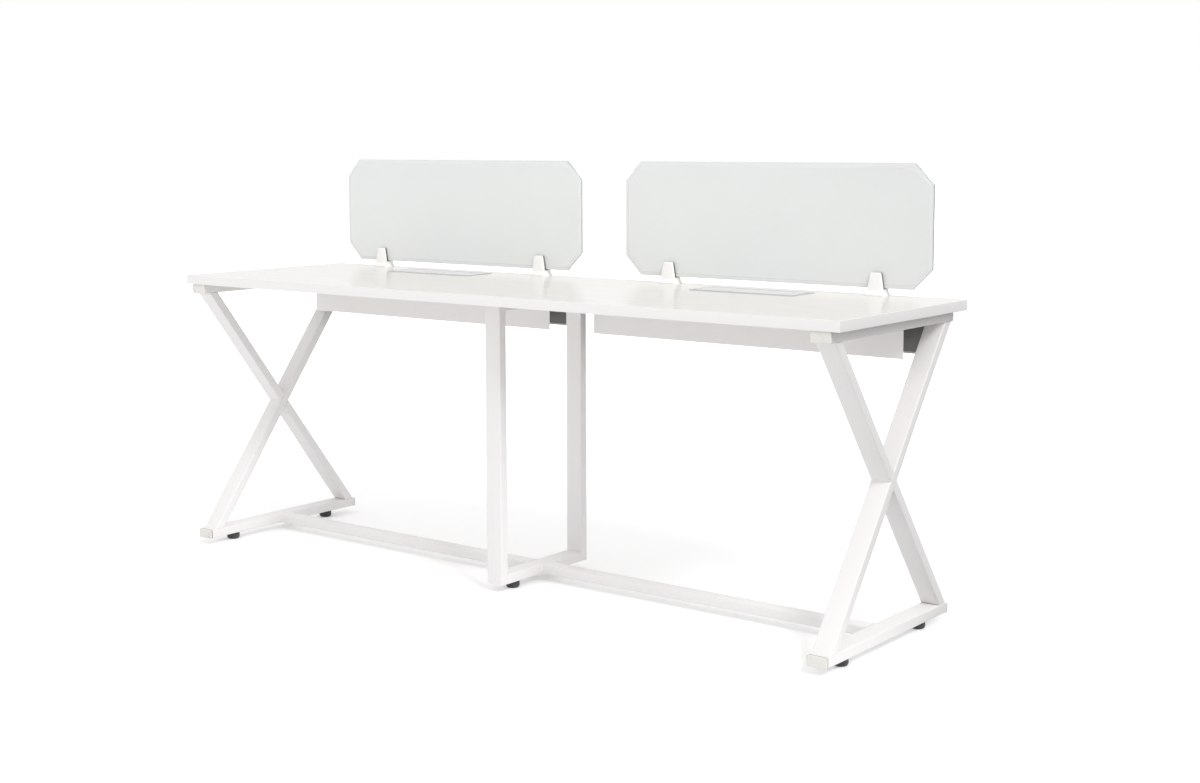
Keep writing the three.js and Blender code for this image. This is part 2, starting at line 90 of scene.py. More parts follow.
def vector(name, description, default, **more):
    """Numbers that belong together."""
    return bpy.props.FloatVectorProperty(
        name=name, description=description, default=default, size=len(default), **more
    )


def spot(name, description, default):
    """A point in metres."""
    return vector(name, description, default, subtype="XYZ", unit="LENGTH")


def colour(name, description, default):
    """A colour."""
    return vector(name, description, default, subtype="COLOR", min=0, max=1)


class DeskSizes(bpy.types.PropertyGroup):
    """Sizes of the details that the frame leaves plain."""

    tube_wide: length("Tube width", "Width of the leg tube", extent("left_leg_upper_rail", "X"))
    tube_thin: length("Tube depth", "Depth of the leg tube", extent("left_leg_upper_rail", "Z"))
    tube_corner: length("Tube corner", "Outer corner radius of the tube", 3 * MM)
    diagonal_run: length("Diagonal run", "Run of a diagonal's middle line, front to back", 0.51)
    weld_radius: length("Weld radius", "Half the width of a weld bead", 1.7 * MM)
    weld_ripple: length("Weld ripple", "Distance between the ripples of a weld bead", 2.6 * MM)
    edge_ease: length("Edge ease", "Rounding of the worktop's edging", 0.9 * MM)
    cap_ease: length("Cap ease", "Rounding of the caps' faces", 1.8 * MM)
    thread_pitch: length("Thread pitch", "Pitch of the feet's screws", 1.5 * MM)
    tray_sheet: length("Tray sheet", "Thickness of the trays' sheet", 1.5 * MM)
    tray_drop: length("Tray drop", "Open length of floor at each end of a tray", 0.105)
    screen_bevel: length("Screen bevel", "Width of the bevel round the glass", 10 * MM)
    screen_cut: length("Screen corner", "Size of the cut corners of the glass", 50 * MM)
    bristles: bpy.props.IntProperty(
        name="Bristles", description="Bristles in a row of a brush", default=150, min=20
    )


class DeskColours(bpy.types.PropertyGroup):
    """Colours of the desk's finishes."""

    paint: colour("Paint", "Powder coat on the steel", (0.885, 0.870, 0.864))
    board: colour("Board", "Laminate of the worktop", (0.785, 0.758, 0.729))
    edging: colour("Edging", "Edging round the worktop", (0.88, 0.868, 0.862))
    caps: colour("Caps", "End caps of the rails", (0.80, 0.784, 0.748))
    clamps: colour("Clamps", "Screen clamps", (0.985, 0.98, 0.963))
    pads: colour("Pads", "Levelling feet", (0.034, 0.034, 0.037))
    zinc: colour("Zinc", "Screws and pins", (0.60, 0.61, 0.62))
    flap: colour("Flap", "Aluminium of the cable flaps", (0.86, 0.862, 0.866))
    # Painted shade: the frames' darker grey stands in for the shade line round each lid.
    surround: colour("Surround", "Frame round the cable flaps", (0.58, 0.58, 0.585))
    bristle: colour("Bristle", "Brush of the cable flaps", (0.018, 0.018, 0.019))
    # Painted shade: the dark coat stands in for the deep shade inside the trays.
    inside: colour("Inside", "Dark coat inside the cable trays", (0.23, 0.228, 0.225))
    # Painted shade and reflection: the lining's dark green also stands in for the shade and green glass
    # seen in the gap between cheek and glass.
    rubber: colour("Rubber", "Lining of the clamps", (0.022, 0.045, 0.040))
    glass: colour("Glass", "Etched faces of the screens", (0.925, 0.947, 0.937))
    # Painted highlight: the bright line round the screens where the bevel starts.
    glass_highlight: colour("Glass line", "Line where the bevel of the screens starts", (0.97, 0.98, 0.975))
    glass_edge: colour("Glass edge", "Cut edge of the screens", (0.50, 0.57, 0.55))


class DeskStage(bpy.types.PropertyGroup):
    """Camera, light and floor."""

    eye: spot("Eye", "Place of the camera", (2.8210, -3.4270, 1.1459))
    yaw: degrees("Yaw", "Turn of the camera about Z", 37.9993)
    pitch: degrees("Pitch", "Tilt of the camera downwards", 6.3598)
    roll: degrees("Roll", "Roll of the camera", -0.175)
    focal: number("Focal length", "In picture widths", 1721.83 / 1200)
    shift: vector("Shift", "Lens shift in picture widths", (14.97 / 1200, -59.98 / 1200))
    fill: number("Fill", "Strength of the light from all round", 0.86)
    floor: colour("Floor", "Floor under the desk", (0.90, 0.90, 0.90))
    lamp: spot("Lamp", "Place of the lamp", (9.7, -4.2, 10.2))
    lamp_radius: length("Lamp radius", "Half the width of the lamp, which softens its shadows", 2.0)
    lamp_power: number("Lamp power", "In watts", 3100)


# Surfaces: every shape is a grid of points, worked out as whole arrays


def grid_quads(rows, columns, close_rows=False):
    """Corner numbers of the quads between rings of points, and from the last ring to the first if asked."""
    i = np.arange(rows if close_rows else rows - 1)
    j = np.arange(columns)
    i, j = (a.ravel() for a in np.meshgrid(i, j, indexing="ij"))
    i2, j2 = (i + 1) % rows, (j + 1) % columns
    return np.stack([i * columns + j, i * columns + j2, i2 * columns + j2, i2 * columns + j], 1)


def closed(rings):
    """Solid through rings of points: quads from ring to ring and a flat face on the first and last."""
    count, around, _ = rings.shape
    quads = grid_quads(count, around).tolist()
    first = list(range(around))[::-1]
    last = list(range((count - 1) * around, count * around))
    return rings.reshape(-1, 3), [*quads, first, last]


def outline(corners, radii, steps):
    """A polygon of (u, v) corners, anticlockwise, with a radius for each and the steps of its arcs."""
    p = np.asarray(corners, float)
    r = np.broadcast_to(np.asarray(radii, float), len(p))
    p2 = np.roll(p, -1, 0)
    if (p[:, 0] * p2[:, 1] - p[:, 1] * p2[:, 0]).sum() < 0:
        p, r = p[::-1], r[::-1]
    return p, r, steps


def rectangle(u0, v0, u1, v1, radius, steps):
    """Outline of a rectangle with round corners."""
    return outline([(u0, v0), (u1, v0), (u1, v1), (u0, v1)], radius, steps)


def traced(shape, inset=0.0):
    """Points round an outline that is drawn in by an inset.

    Each corner moves in along both its edges' normals, and its radius shrinks or grows with it.
    The normal turns evenly from one edge's to the next, and a point is the arc's centre plus the
    radius times the normal.
    """
    p, r, steps = shape
    a = p - np.roll(p, 1, 0)
    a = a / np.linalg.norm(a, axis=1, keepdims=True)
    b = np.roll(a, -1, 0)
    before, after = a[:, ::-1] * (1, -1), b[:, ::-1] * (1, -1)
    turn = np.arctan2(a[:, 0] * b[:, 1] - a[:, 1] * b[:, 0], (a * b).sum(1))
    p = p - inset * (before + after) / (1 + (before * after).sum(1, keepdims=True))
    r = np.maximum(r - inset * np.sign(turn), 0.02 * MM)
    signed = (r * np.sign(turn))[:, None]
    angle = turn[:, None] * np.linspace(0, 1, steps + 1)
    cos, sin = np.cos(angle), np.sin(angle)
    x, y = before[:, :1], before[:, 1:]
    normals = np.stack([cos * x - sin * y, sin * x + cos * y], -1)
    centre = p - a * (r * np.tan(np.abs(turn) / 2))[:, None] - before * signed
    return (centre[:, None] + normals * signed[:, None]).reshape(-1, 2)


AXES = {
    "X": np.array([[0, 1, 0], [0, 0, 1], [1, 0, 0]], float),
    "Y": np.array([[-1, 0, 0], [0, 0, 1], [0, 1, 0]], float),
    "Z": np.eye(3),
}


def stacked(shape, heights, insets, along="Z", at=(0, 0, 0)):
    """Rings of an outline at each height, each drawn in along its normals by its inset."""
    ring = np.stack([traced(shape, inset) for inset in insets])
    height = np.broadcast_to(np.asarray(heights, float)[:, None, None], (*ring.shape[:2], 1))
    return np.concatenate([ring, height], -1) @ AXES[along] + np.asarray(at, float)


def eased(low, high, radius):
    """Heights and insets of a side whose two edges are quarter rounds of three steps."""
    turn = np.linspace(0, math.pi / 2, 4)
    rise, inset = radius * (1 - np.cos(turn)), radius * (1 - np.sin(turn))
    return np.concatenate([low + rise, high - rise[::-1]]), np.concatenate([inset, inset[::-1]])


def prism(shape, low, high, radius, along="Z"):
    """Solid of an outline between two heights, with rounded edges."""
    return closed(stacked(shape, *eased(low, high, radius), along))


def block(low, high, radius):
    """Box between two corners with all its edges rounded."""
    low, high = np.asarray(low, float), np.asarray(high, float)
    shape = rectangle(*low[:2], *high[:2], radius, 3)
    return prism(shape, low[2], high[2], radius)


def hoop(shape, section, at=(0, 0, 0)):
    """A section of (outward, up) points carried round an outline: a ring that closes both ways."""
    rings = stacked(shape, section[:, 1], -section[:, 0], "Z", at)
    return rings.reshape(-1, 3), grid_quads(*rings.shape[:2], close_rows=True).tolist()


def turned(profile, centre, steps, flute=None):
    """Solid of revolution about an upright axis through (radius, height) pairs.

    Where a flute is given, it is a depth for each angle and height that is taken from the radius.
    """
    radius, height = np.asarray(profile, float).T
    angle = np.linspace(0, 2 * math.pi, steps, endpoint=False)
    r = np.broadcast_to(radius[:, None], (len(radius), steps))
    if flute is not None:
        r = r - flute(angle[None], height[:, None])
    z = np.broadcast_to(height[:, None], r.shape)
    return closed(np.stack([r * np.cos(angle), r * np.sin(angle), z], -1) + np.asarray(centre, float))


def rod(start, end, radius, steps=20):
    """Round bar between two points: a circle at each station, with a small chamfer at both ends."""
    start, end = np.asarray(start, float), np.asarray(end, float)
    along = end - start
    total = np.linalg.norm(along)
    along = along / total
    side = np.cross(along, (0, 0, 1) if abs(along[2]) < 0.9 else (1, 0, 0))
    side = side / np.linalg.norm(side)
    chamfer = min(radius / 4, total / 8)
    station = np.array([0, chamfer, total - chamfer, total])
    r = np.array([radius - chamfer, radius, radius, radius - chamfer])
    angle = np.linspace(0, 2 * math.pi, steps, endpoint=False)
    ring = np.cos(angle)[:, None] * side + np.sin(angle)[:, None] * np.cross(along, side)
    return closed(start + station[:, None, None] * along + r[:, None, None] * ring)


def tube(point, along, across, wide, thin, corner, start, end):
    """Straight tube through a point, cut at each end by a plane given as a point and a normal.

    Each line of the surface runs along the tube to where it meets the two planes.
    """
    along, across = np.asarray(along, float), np.asarray(across, float)
    up = np.cross(along, across)
    section = traced(rectangle(-wide / 2, -thin / 2, wide / 2, thin / 2, corner, 6))
    line = np.asarray(point, float) + section[:, :1] * across + section[:, 1:] * up

    def met(plane):
        place, normal = (np.asarray(v, float) for v in plane)
        return line + ((place - line) @ normal / (along @ normal))[:, None] * along

    return closed(np.stack([met(start), met(end)]))


def bead(start, end, radius, ripple):
    """Weld bead along a line: a round bar whose radius swells at each ripple and dies away at both ends."""
    start, end = np.asarray(start, float), np.asarray(end, float)
    total = np.linalg.norm(end - start)
    share = np.linspace(0, 1, max(int(total / ripple * 6), 12))
    swell = 1 + 0.10 * np.cos(2 * math.pi * share * total / ripple)
    taper = np.sqrt(np.clip(1 - np.abs(2 * share - 1) ** 16, 0.04, 1))
    along = (end - start) / total
    side = np.cross(along, (0.3, 0.5, 0.8))
    side /= np.linalg.norm(side)
    angle = np.linspace(0, 2 * math.pi, 10, endpoint=False)
    ring = np.cos(angle)[:, None] * side + np.sin(angle)[:, None] * np.cross(along, side)
    r = radius * swell * taper
    return closed(start + share[:, None, None] * (end - start) + r[:, None, None] * ring)


def joined(name, shapes):
    """New object whose mesh holds all the shapes."""
    points, faces, base = [], [], 0
    for part_points, part_faces in shapes:
        points.append(part_points)
        faces.extend([base + corner for corner in face] for face in part_faces)
        base += len(part_points)
    mesh = bpy.data.meshes.new(name)
    mesh.from_pydata(np.concatenate(points), [], faces)
    made = bpy.data.objects.new(name, mesh)
    bpy.context.scene.collection.objects.link(made)
    return made


def cut(made, shapes):
    """Takes the shapes away from an object's mesh."""
    tool = joined("cutter", shapes)
    change = made.modifiers.new("cut", "BOOLEAN")
    change.operation = "DIFFERENCE"
    change.solver = "EXACT"
    change.object = tool
    mesh = bpy.data.meshes.new_from_object(made.evaluated_get(bpy.context.evaluated_depsgraph_get()))
    made.modifiers.remove(change)
    made.data = mesh
    bpy.data.objects.remove(tool)


def piece(name, shapes, maker, body="frame", stands_for=(), angle=32, holes=()):
    """Object of the joined shapes less the holes, with a finish, riding on a body.

    It is smooth but for edges sharper than the angle, and it stands for nodes of the frame.
    """
    made = joined(name, shapes)
    if holes:
        cut(made, holes)
    mesh = made.data
    mesh.shade_smooth()
    mesh.set_sharp_from_angle(angle=math.radians(angle))
    mesh.materials.append(finish(maker))
    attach(made, body)
    if stands_for:
        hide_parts(*stands_for)
    return made


def dress(node, maker):
    """Gives a node of the frame a finish."""
    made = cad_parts[node]
    material = finish(maker)
    if not made.material_slots:
        made.data.materials.append(material)
    for held in made.material_slots:
        held.material = material


# Finishes


class Wire:
    """An output socket that takes part in Python expressions: each operator adds a Math node."""

    def __init__(self, shading, socket):
        self.shading = shading
        self.socket = socket

    def _with(self, operation, first, second):
        return self.shading.node("Math", {"operation": operation}, {0: first, 1: second})

    def __add__(self, other):
        return self._with("ADD", self, other)

    def __sub__(self, other):
        return self._with("SUBTRACT", self, other)

    def __rsub__(self, other):
        return self._with("SUBTRACT", other, self)

    def __mul__(self, other):
        return self._with("MULTIPLY", self, other)

    def above(self, edge, width):
        """Goes smoothly from 0 to 1 as the value passes an edge."""
        inputs = {"Value": self, "From Min": edge - width, "From Max": edge + width}
        return self.shading.node("MapRange", {"interpolation_type": "SMOOTHSTEP"}, inputs)

    __radd__ = __add__
    __rmul__ = __mul__


class Shading:
    """The nodes of a material or a world."""

    def __init__(self, owner):
        owner.use_nodes = True
        self.tree = owner.node_tree
        self.tree.nodes.clear()

    def node(self, kind, settings=None, inputs=None, output=0):
        """Adds a node of a type, with its settings and then its inputs, and gives one of its outputs."""
        made = self.tree.nodes.new("ShaderNode" + kind)
        for key, value in (settings or {}).items():
            setattr(made, key, value)
        for key, value in (inputs or {}).items():
            if isinstance(value, Wire):
                self.tree.links.new(value.socket, made.inputs[key])
            else:
                made.inputs[key].default_value = value
        return Wire(self, made.outputs[output]) if made.outputs else None

    def place(self, scale=(1, 1, 1)):
        """Object coordinates, stretched along each axis."""
        seen = self.node("TexCoord", output="Object")
        return self.node("Mapping", inputs={"Vector": seen, "Scale": scale})

    def noise(self, scale, detail=2.0, stretch=(1, 1, 1), roughness=0.5):
        """Noise of so many features a metre."""
        inputs = {"Vector": self.place(stretch), "Scale": scale, "Detail": detail, "Roughness": roughness}
        return self.node("TexNoise", inputs=inputs)

    def mix(self, factor, first, second):
        """Colour between two others, which the node takes at sockets 6 and 7 and gives at 2."""
        inputs = {0: factor, 6: rgba(first), 7: rgba(second)}
        return self.node("Mix", {"data_type": "RGBA"}, inputs, 2)

    def tones(self, factor, tone, first, second=1.0):
        """Colour between two shades of one."""
        return self.mix(factor, shade(tone, first), shade(tone, second))

    def bump(self, height, distance, strength):
        """Normal of a surface raised by a height of 0 to 1 times a distance in metres."""
        return self.node("Bump", inputs={"Height": height, "Distance": distance, "Strength": strength})

    def surface(self, tint, roughness, normal=None, **more):
        """Principled surface, with more of its sockets by name, as the material's output."""
        inputs = {"Base Color": tint, "Roughness": roughness, "IOR": 1.5}
        if normal:
            inputs["Normal"] = normal
        inputs.update((key.replace("_", " "), value) for key, value in more.items())
        made = self.node("BsdfPrincipled", inputs=inputs)
        self.node("OutputMaterial", inputs={"Surface": made})


def rgba(value):
    """A colour with full opacity, or a wire as it is."""
    return value if isinstance(value, Wire) else (*value, 1.0)


def shade(value, factor):
    """A colour made lighter or darker."""
    return tuple(min(channel * factor, 1.0) for channel in value)


FINISHES = {}


def finish(maker):
    """The material that a maker makes, made once."""
    name = maker.__name__
    if name not in FINISHES:
        FINISHES[name] = bpy.data.materials.new(name)
        maker(Shading(FINISHES[name]), bpy.context.scene.desk_colours)
    return FINISHES[name]


def powder_coat(s, colours):
    """White powder coat: the orange peel of the cured film, and slightly thinner colour in patches."""
    peel = s.noise(420)
    grain = s.noise(2600, 1.0)
    tint = s.tones(s.noise(7, 3.0).above(0.5, 0.25), colours.paint, 0.985)
    s.surface(tint, 0.40 + 0.10 * peel, s.bump(peel * 0.75 + grain * 0.25, 0.06 * MM, 0.5))


def tray_shade_coat(s, colours):
    """Painted shade: a matt dark coat inside the trays stands in for the deep shade there, a little thin in
    patches.
    """
    peel = s.noise(500)
    tint = s.tones(s.noise(16, 3.0).above(0.5, 0.3), colours.inside, 0.8)
    s.surface(tint, 0.55 + 0.15 * peel, s.bump(peel, 0.05 * MM, 0.4))


def laminate(s, colours):
    """White melamine board: a fine pearl texture, satin, with a faint unevenness of tone."""
    pearl = s.noise(1500)
    wipe = s.noise(9, 4.0, (1, 4, 1))
    tint = s.tones(s.noise(3.5, 3.0).above(0.5, 0.3), colours.board, 0.988)
    s.surface(tint, 0.15 + 0.05 * wipe + 0.04 * pearl, s.bump(pearl, 0.03 * MM, 0.35), IOR=1.4)


def edging(s, colours):
    """Plastic edging: faint lines along the way it was drawn."""
    drawn = s.noise(60, 3.0, (0.05, 0.05, 12))
    grain = s.noise(1200)
    tint = s.tones(drawn.above(0.52, 0.2), colours.edging, 0.985)
    s.surface(tint, 0.34 + 0.10 * drawn, s.bump(drawn * 0.5 + grain * 0.5, 0.04 * MM, 0.4))


def scuffed(s, tone, wear, roughness):
    """Moulded plastic with a fine spark texture, and grey scuffs where coarse and fine noise meet."""
    spark = s.noise(2200)
    patch = s.noise(45, 4.0, roughness=0.65)
    streak = s.noise(160, 3.0, (1, 1, 0.3))
    mark = patch.above(0.60, 0.07) * streak.above(0.52, 0.10) * wear
    normal = s.bump(spark - mark * 0.5, 0.05 * MM, 0.5)
    s.surface(s.tones(mark, tone, 1.0, 0.45), roughness + 0.10 * spark + 0.10 * mark, normal, IOR=1.48)


def cap_plastic(s, colours):
    """Warm white caps, scuffed by shoes and cleaning."""
    scuffed(s, colours.caps, 0.35, 0.42)


def clamp_plastic(s, colours):
    """Clean white moulded clamps."""
    scuffed(s, colours.clamps, 0.06, 0.36)


def pad_plastic_and_shade(s, colours):
    """Near-black pads with dust in the texture. The same finish paints shade on the rods and rings that
    fill open joints and the gaps behind the lower front caps.
    """
    spark = s.noise(1800)
    dust = s.noise(70, 4.0).above(0.56, 0.14)
    tint = s.tones(dust * 0.5, colours.pads, 1.0, 2.6)
    s.surface(tint, 0.36 + 0.16 * spark + 0.12 * dust, s.bump(spark, 0.08 * MM, 0.5))


def zinc_steel(s, colours):
    """Bright zinc plating with a mottled passivation."""
    mottle = s.noise(260, 3.0)
    line = s.noise(900, 2.0, (1, 1, 3))
    tint = s.tones(mottle, colours.zinc, 0.82)
    s.surface(tint, 0.24 + 0.14 * mottle, s.bump(line, 0.03 * MM, 0.5), Metallic=1.0)


def brushed_metal(s, tone):
    """Satin aluminium, brushed along the desk."""
    brushed = s.noise(1400, 3.0, (0.012, 1, 1))
    cloud = s.noise(26, 3.0, (0.3, 1, 1))
    tint = s.tones(brushed, tone, 0.93, 1.04)
    normal = s.bump(brushed, 0.03 * MM, 0.35)
    s.surface(tint, 0.34 + 0.12 * cloud + 0.06 * brushed, normal, Metallic=0.55)


def flap_metal(s, colours):
    """Pale lids of the cable flaps."""
    brushed_metal(s, colours.flap)


def shaded_surround_metal(s, colours):
    """Frames round the lids, darker than the lids; the darker grey is painted shade standing in for the
    shade line round each lid.
    """
    brushed_metal(s, colours.surround)


def bristle_nylon(s, colours):
    """Black nylon, each strand a little lighter or darker than the next."""
    strand = s.noise(700, 1.0, (1, 0.05, 0.05))
    s.surface(s.tones(strand, colours.bristle, 0.6, 2.0), 0.45 + 0.2 * strand, IOR=1.53)


def clamp_rubber_and_shade(s, colours):
    """Dark green rubber with a dull bloom; its dark green is also painted shade and reflection, standing in
    for the shade and green glass seen in the gap between cheek and glass.
    """
    bloom = s.noise(120, 4.0)
    grain = s.noise(2400)
    tint = s.tones(bloom.above(0.5, 0.2), colours.rubber, 1.0, 1.5)
    s.surface(tint, 0.55 + 0.2 * bloom, s.bump(grain, 0.05 * MM, 0.5))


def etched_glass(s, colours):
    """Acid-etched face of the glass: a milky pale green with the fine bite of the etch."""
    bite = s.noise(2600)
    tint = s.tones(s.noise(5, 3.0).above(0.5, 0.3), colours.glass, 0.985)
    s.surface(tint, 0.38 + 0.08 * bite, s.bump(bite, 0.03 * MM, 0.4), Transmission_Weight=0.25)


def ground_glass(s, tone, roughness):
    """Ground glass, clearer than the etched face."""
    ground = s.noise(1800)
    tint = s.tones(ground, tone, 0.97)
    s.surface(tint, roughness + 0.08 * ground, s.bump(ground, 0.02 * MM, 0.3), Transmission_Weight=0.15)


def bevel_glass(s, colours):
    """Bevelled margin of the screens."""
    ground_glass(s, shade(colours.glass, 0.97), 0.30)


def bevel_highlight(s, colours):
    """Painted highlight: a bright line where the bevel starts."""
    ground_glass(s, colours.glass_highlight, 0.20)


def cut_glass(s, colours):
    """Green edge of the cut glass."""
    ground_glass(s, colours.glass_edge, 0.25)


# Pieces of the desk


class DESK_OT_worktop(bpy.types.Operator):
    """Board with its laminate, and the eased edging round it"""

    bl_idname = "desk.worktop"
    bl_label = "Worktop"

    def execute(self, context):
        sizes = context.scene.desk_sizes
        dress("worktop_board", laminate)
        low, high = reach("worktop_edge_band")
        board_low, _ = reach("worktop_board")
        band = board_low[0] - low[0]
        shape = rectangle(*low[:2], *high[:2], 1.05 * band, 8)
        corners = [(-band, low[2]), (0, low[2]), (0, high[2]), (-band, high[2])]
        ease = sizes.edge_ease
        sharp = 0.02 * MM
        section = traced(outline(corners, [sharp, ease, ease, sharp], 5))
        piece("worktop_edging", [hoop(shape, section)], edging, stands_for=["worktop_edge_band"])
        return {"FINISHED"}


def leg_lines(side, sizes):
    """Middle of a crossed leg, and the unit direction of its whole diagonal."""
    _, lower_high = reach(f"{side}_leg_lower_rail")
    upper_low, _ = reach(f"{side}_leg_upper_rail")
    x, y = np.mean(reach(f"{side}_leg_whole_diagonal"), 0)[:2]
    rise = upper_low[2] - lower_high[2]
    middle = np.array([x, y, (upper_low[2] + lower_high[2]) / 2])
    along = np.array([0, sizes.diagonal_run, rise])
    return middle, along / np.linalg.norm(along)


def screw_holes(leg):
    """Round holes from under a leg's lower rail up past the ends of the screws of its two feet."""
    bottom = reach(f"{leg}_leg_lower_rail")[0][2]
    holes = []
    for end in ENDS:
        low, high = reach(f"{leg}_{end}_foot_stud")
        centre = (*(low + high)[:2] / 2, 0)
        radius = SCREW_RADIUS + 0.25 * MM
        holes.append(turned([(radius, bottom - MM), (radius, high[2] + MM)], centre, 40))
    return holes


class DESK_OT_leg_tubes(bpy.types.Operator):
    """Rails, diagonals, posts and stretchers: round-cornered tube cut to the planes that it meets"""

    bl_idname = "desk.leg_tubes"
    bl_label = "Leg tubes"

    def execute(self, context):
        sizes = context.scene.desk_sizes
        thin, corner = sizes.tube_thin, sizes.tube_corner
        x_axis, y_axis, z_axis = np.eye(3)

        def leg_tube(point, along, start, end):
            """Tube with its wide side along X, between two planes."""
            return tube(point, along, x_axis, sizes.tube_wide, thin, corner, start, end)

        def straight(node, along, across):
            """Tube with square ends that fills the box of a node."""
            low, high = reach(node)
            size = high - low
            up = np.abs(np.cross(along, across))
            ends = (low, along), (high, along)
            return tube((low + high) / 2, along, across, size @ across, size @ up, corner, *ends)

        def painted(node, shape):
            """Piece of a node's tube, with the screw holes of a lower rail."""
            holes = screw_holes(node.split("_")[0]) if node.endswith("lower_rail") else ()
            piece(f"{node}_tube", [shape], powder_coat, stands_for=[node], holes=holes)

        for side in SIDES:
            leg, stretcher = f"{side}_leg", f"{side}_stretcher"
            middle, along = leg_lines(side, sizes)
            other = along * (1, -1, 1)
            face = np.cross(x_axis, along) * thin / 2
            lower = (reach(f"{leg}_lower_rail")[1], z_axis)
            upper = (reach(f"{leg}_upper_rail")[0], z_axis)
            for rail in (f"{leg}_lower_rail", f"{leg}_upper_rail"):
                painted(rail, straight(rail, y_axis, x_axis))
            painted(f"{leg}_whole_diagonal", leg_tube(middle, along, lower, upper))
            painted(f"{leg}_lower_half_diagonal", leg_tube(middle, other, lower, (middle - face, face)))
            painted(f"{leg}_upper_half_diagonal", leg_tube(middle, other, (middle + face, face), upper))
            painted(stretcher, straight(stretcher, x_axis, y_axis))

        front_low, front_high = reach("middle_leg_front_post")
        bottom, top = front_low[2], front_high[2]
        front, rear = front_low[1], reach("middle_leg_rear_post")[1][1]

        def mitre(y, z):
            """Plane that halves the right angle at an outer corner of the middle leg."""
            slope = 1.0 if (y == front) != (z == bottom) else -1.0
            return np.array([0, y, z]), np.array([0, 1.0, slope])

        for node, y, inward in (("front_post", front, 1), ("rear_post", rear, -1)):
            centre = (0, y + inward * thin / 2, 0)
            painted(f"middle_leg_{node}", leg_tube(centre, z_axis, mitre(y, bottom), mitre(y, top)))
        for node, z, inward in (("lower_rail", bottom, 1), ("upper_rail", top, -1)):
            centre = (0, 0, z + inward * thin / 2)
            painted(f"middle_leg_{node}", leg_tube(centre, y_axis, mitre(front, z), mitre(rear, z)))
        return {"FINISHED"}


class DESK_OT_welds(bpy.types.Operator):
    """Weld beads in the inner corners of the legs and at the ends of the stretchers, painted over"""

    bl_idname = "desk.welds"
    bl_label = "Welds"

    def execute(self, context):
        sizes = context.scene.desk_sizes
        thin, shade_rod_radius = sizes.tube_thin, 0.9 * MM
        half = sizes.tube_wide / 2 - sizes.tube_corner
        beads, shade_strips = [], []

        def weld(start, end):
            beads.append(bead(start, end, sizes.weld_radius, sizes.weld_ripple))

        for side in SIDES:
            middle, along = leg_lines(side, sizes)
            spread, rise = thin / 2 / along[2], thin / 2 / along[1]
            lower = reach(f"{side}_leg_lower_rail")[1][2]
            upper = reach(f"{side}_leg_upper_rail")[0][2]
            for z, way in ((lower, -1), (upper, 1)):
                for lean in (-1, 1):
                    for edge in (-1, 1):
                        y = middle[1] + way * lean * sizes.diagonal_run / 2 + edge * spread
                        start, end = (middle[0] - half, y, z), (middle[0] + half, y, z)
                        # Painted shade: at the foot of each rear lower diagonal, on its front face, a
                        # near-black rod takes the place of a bead and stands in for the shade of an open
                        # joint.
                        if (way, lean, edge) == (-1, -1, -1):
                            shade_strips.append(rod(start, end, shade_rod_radius))
                        else:
                            weld(start, end)
            for y, z in ((spread, 0), (-spread, 0), (0, rise), (0, -rise)):
                place = middle + (0, y, z)
                weld(place - (half, 0, 0), place + (half, 0, 0))
            low, high = reach(f"{side}_stretcher")
            for x in (low[0], high[0]):
                for y in (low[1], high[1]):
                    weld((x, y, low[2] + sizes.tube_corner), (x, y, high[2] - sizes.tube_corner))
        low, high = reach("middle_leg_front_post")[0], reach("middle_leg_rear_post")[1]
        for y in (low[1] + thin, high[1] - thin):
            for z in (low[2] + thin, high[2] - thin):
                weld((-half, y, z), (half, y, z))
        piece("weld_beads", beads, powder_coat)
        piece("joint_shade_rods", shade_strips, pad_plastic_and_shade)
        return {"FINISHED"}


class DESK_OT_end_caps(bpy.types.Operator):
    """Moulded caps in the ends of the rails: a crowned face, eased all round; behind the lower front caps a
    gap holds a near-black ring of painted shade
    """

    bl_idname = "desk.end_caps"
    bl_label = "End caps"

    def execute(self, context):
        sizes = context.scene.desk_sizes
        ease, corner = sizes.cap_ease, 4 * MM
        gap, sunk = 2 * MM, 0.3 * MM
        turn = np.linspace(0, math.pi / 2, 6)
        crown = 0.25 * MM + ease * (1 - np.cos(turn))
        round_in = 0.02 * MM + ease * (1 - np.sin(turn))
        for side in SIDES:
            shapes, shade_strips, nodes = [], [], []
            for level in ("lower", "upper"):
                rail_low, rail_high = reach(f"{side}_leg_{level}_rail")
                for end in ENDS:
                    node = f"{side}_leg_{level}_{end}_cap"
                    low, high = reach(node)
                    nodes.append(node)
                    face_y, seat_y = (low[1], rail_low[1]) if end == "front" else (high[1], rail_high[1])
                    thick = abs(seat_y - face_y)
                    # Painted shade: at the lower front caps a near-black ring fills the gap behind the face
                    # and stands in for its shade.
                    if level == "lower" and end == "front":
                        thick -= gap
                        edges = sunk - high[0], low[2] + sunk, -low[0] - sunk, high[2] - sunk
                        shade_ring = rectangle(*edges, corner, 8)
                        shade_strips.append(prism(shade_ring, seat_y - gap, seat_y, 0.05 * MM, "Y"))
                    shape = rectangle(-high[0], low[2], -low[0], high[2], corner, 8)
                    depth = np.concatenate([[0], crown, [thick - 0.4 * MM, thick]])
                    inset = np.concatenate([[9 * MM], round_in, [0, 0.5 * MM]])
                    if end == "rear":
                        depth, inset = -depth[::-1], inset[::-1]
                    shapes.append(closed(stacked(shape, face_y + depth, inset, "Y")))
            piece(f"{side}_leg_caps", shapes, cap_plastic, stands_for=nodes, angle=40)
            piece(f"{side}_leg_cap_shade_rings", shade_strips, pad_plastic_and_shade, angle=40)
        return {"FINISHED"}


